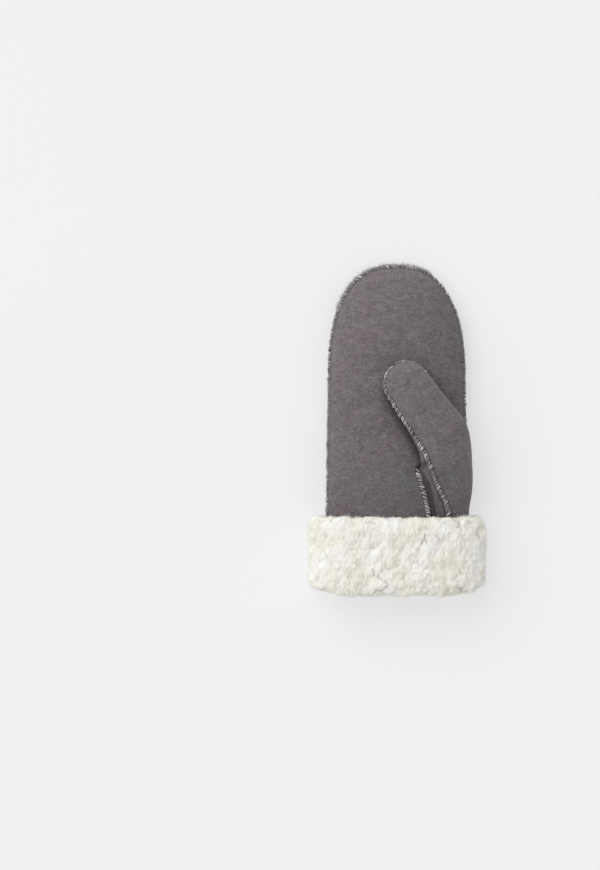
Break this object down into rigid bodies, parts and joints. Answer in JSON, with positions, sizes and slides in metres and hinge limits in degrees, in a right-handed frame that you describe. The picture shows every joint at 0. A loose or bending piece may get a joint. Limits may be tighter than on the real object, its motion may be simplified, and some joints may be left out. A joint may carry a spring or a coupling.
{
  "type": "mitten",
  "caption": "Sheepskin mitten of grey-taupe suede with whipstitched seams, a thumb folded over the palm and a thick cream wool cuff turned back at the wrist.",
  "frame": {"origin": "centre of the bounding box's bottom face, with the mitten lying on its back", "axes": "+Y from the cuff towards the fingertips, +Z out of the palm, +X towards the thumb's side seam"},
  "size_m": [0.1448, 0.263, 0.0546],
  "materials": {
    "suede": "matte brushed suede, grey-taupe with soft mottling",
    "wool": "cream sheep's wool, plush and curly"
  },
  "bodies": {
    "root": {"back_panel": "suede", "palm_panel": "suede", "thumb_front": "suede", "thumb_under": "suede", "fleece_lining": "wool", "cuff": "wool"}
  },
  "joints": []
}
